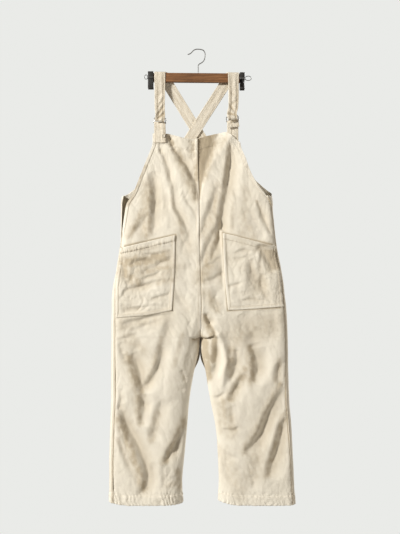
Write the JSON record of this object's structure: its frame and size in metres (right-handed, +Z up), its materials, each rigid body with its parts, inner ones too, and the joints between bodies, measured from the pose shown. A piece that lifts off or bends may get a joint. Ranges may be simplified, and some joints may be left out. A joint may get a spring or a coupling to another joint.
{
  "type": "corduroy bib overtrousers on a clip hanger",
  "caption": "Loose corduroy bib overtrousers with patch pockets and crossed straps, hung flat over a small wooden clip hanger.",
  "frame": {"origin": "inside top of the hanger's hook, where the rail or nail carries it", "axes": "+Z up the garment, front facing -Y, +X to the right as seen from the front"},
  "size_m": [0.5756, 0.0752, 1.4041],
  "materials": {
    "cord": "cream needlecord, matt with a soft nap",
    "strap": "cream needlecord, doubled",
    "steel": "worn grey steel",
    "button": "pale satin",
    "wood": "brown stained, satin",
    "wire": "bright plated wire",
    "clip": "dark satin"
  },
  "bodies": {
    "root": {"front_left": "cord", "front_right": "cord", "back_left": "cord", "back_right": "cord", "pocket_left": "cord", "pocket_right": "cord", "strap_left": "strap", "strap_right": "strap", "tab_left": "strap", "tab_right": "strap", "ring_left": "steel", "ring_right": "steel", "button_left": "button", "hanger_bar": "wood", "hanger_hook": "wire", "clip_left": "clip", "clip_right": "clip", "loop_left": "wire", "loop_right": "wire"}
  },
  "joints": []
}
